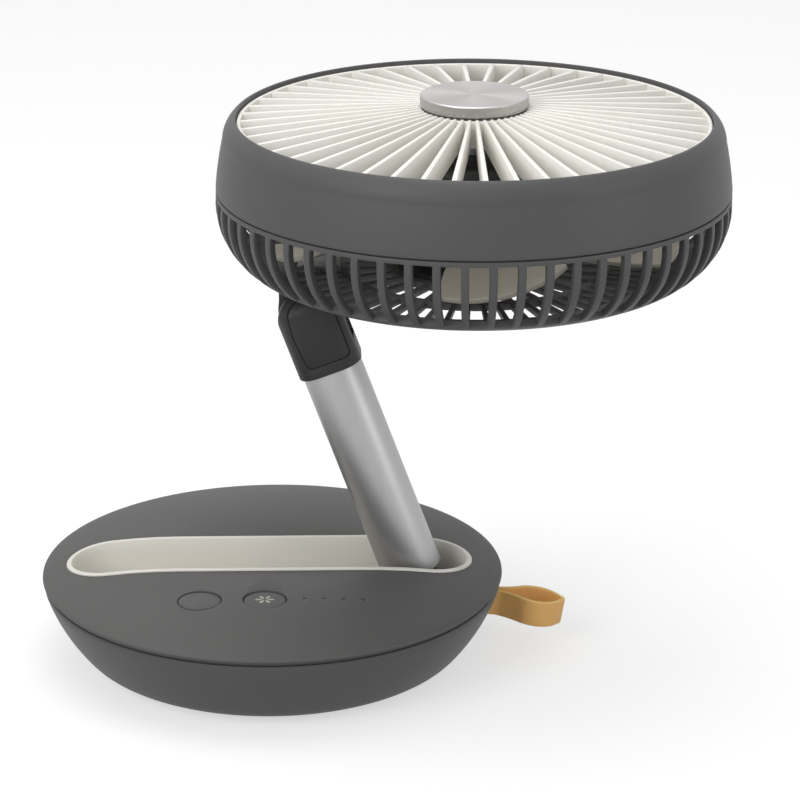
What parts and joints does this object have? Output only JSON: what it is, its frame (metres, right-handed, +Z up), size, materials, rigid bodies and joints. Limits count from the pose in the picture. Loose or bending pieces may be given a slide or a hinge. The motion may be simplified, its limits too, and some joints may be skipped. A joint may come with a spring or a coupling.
{
  "type": "portable camping fan",
  "caption": "Rechargeable camping fan: round weighted base with a recess, a folding metal arm and a round tilting head with deep radial fins.",
  "frame": {"origin": "centre of the base's underside, on the surface that the fan stands on", "axes": "+X along the recess towards the arm's foot and the strap, +Y to the rear, +Z up"},
  "size_m": [0.294, 0.216, 0.249],
  "materials": {
    "charcoal_shell": "fine moulded grain",
    "charcoal_cover": "soft-touch top cover",
    "warm_grey_liner": "satin moulding",
    "grip_rubber": "anti-slip pad",
    "plain_steel": "zinc-plated",
    "satin_aluminium": "bead-blasted and anodised",
    "spun_aluminium": "spun and anodised",
    "knuckle_plastic": "matte",
    "ivory_fins": "satin moulding",
    "ivory_blades": "satin moulding",
    "tan_leather": "smooth tanned, cut edges",
    "circuit_board": "lacquered",
    "dark_fitting": "moulded",
    "light_lens": "smoked",
    "cell_wrap": "shrink-wrapped cell",
    "black_steel": "black oxide",
    "motor_metal": "dark coated",
    "copper_winding": "enamelled wire",
    "bronze_bush": "sintered"
  },
  "bodies": {
    "base": {"base_lower_shell": "charcoal_shell", "base_top_cover": "charcoal_cover", "channel_liner": "warm_grey_liner", "foot_pad": "grip_rubber", "ballast_plate": "plain_steel", "front_ballast": "plain_steel", "hinge_cradle": "plain_steel", "base_spacers": "plain_steel", "base_screws": "plain_steel", "cradle_screws": "plain_steel", "board_screws": "plain_steel", "base_hinge_pin": "plain_steel", "hinge_pin_clips": "plain_steel", "base_friction_washers": "dark_fitting", "battery_cells": "cell_wrap", "battery_holder": "dark_fitting", "control_board": "circuit_board", "button_switches": "dark_fitting", "led_chips": "light_lens", "led_lenses": "light_lens", "charge_board": "circuit_board", "usb_c_socket": "plain_steel", "carry_strap": "tan_leather", "strap_pin": "plain_steel"},
    "power_button": {"power_button": "charcoal_cover"},
    "speed_button": {"speed_button": "charcoal_cover"},
    "arm": {"arm_tube": "satin_aluminium", "arm_foot": "dark_fitting", "tube_pins": "plain_steel", "arm_lead": "dark_fitting", "knuckle_fork": "knuckle_plastic", "knuckle_covers": "knuckle_plastic"},
    "tilt_core": {"tilt_axle": "plain_steel", "tilt_axle_clips": "plain_steel", "tilt_friction_discs": "black_steel"},
    "head": {"head_bracket": "knuckle_plastic", "saddle_plate": "plain_steel", "saddle_screws": "plain_steel", "rear_shell": "charcoal_shell", "bezel_ring": "charcoal_shell", "front_grille": "ivory_fins", "hub_cap": "spun_aluminium", "motor_mount": "dark_fitting", "motor_housing": "motor_metal", "motor_stator": "copper_winding", "motor_bushes": "bronze_bush"},
    "fan_rotor": {"motor_shaft": "plain_steel", "motor_rotor": "motor_metal", "fan_clip": "plain_steel", "fan_impeller": "ivory_blades"}
  },
  "joints": [
    {"name": "arm_fold", "type": "hinge", "parent": "base", "child": "arm", "pos_m": [0.064, 0, 0.0277], "axis": [0, -1, 0], "range_deg": [-20.35, 69.65]},
    {"name": "head_level", "type": "hinge", "parent": "arm", "child": "tilt_core", "pos_m": [0.01754, 0, 0.15296], "axis": [0, -1, 0], "range_deg": [-69.7, 20.4]},
    {"name": "head_tilt", "type": "hinge", "parent": "tilt_core", "child": "head", "pos_m": [0.01754, 0, 0.15296], "axis": [0, 1, 0], "range_deg": [-90, 0]},
    {"name": "fan_spin", "type": "hinge", "parent": "head", "child": "fan_rotor", "pos_m": [0.08598, 0, 0.17296], "axis": [0, 0, 1], "continuous": true},
    {"name": "power_press", "type": "slide", "parent": "base", "child": "power_button", "axis": [0, 0, -1], "range_m": [0, 0.0005], "stiffness_N_per_m": 900},
    {"name": "speed_press", "type": "slide", "parent": "base", "child": "speed_button", "axis": [0, 0, -1], "range_m": [0, 0.0005], "stiffness_N_per_m": 900}
  ],
  "couplings": [
    {"joint": "head_level", "follows": "arm_fold", "ratio": -1}
  ]
}
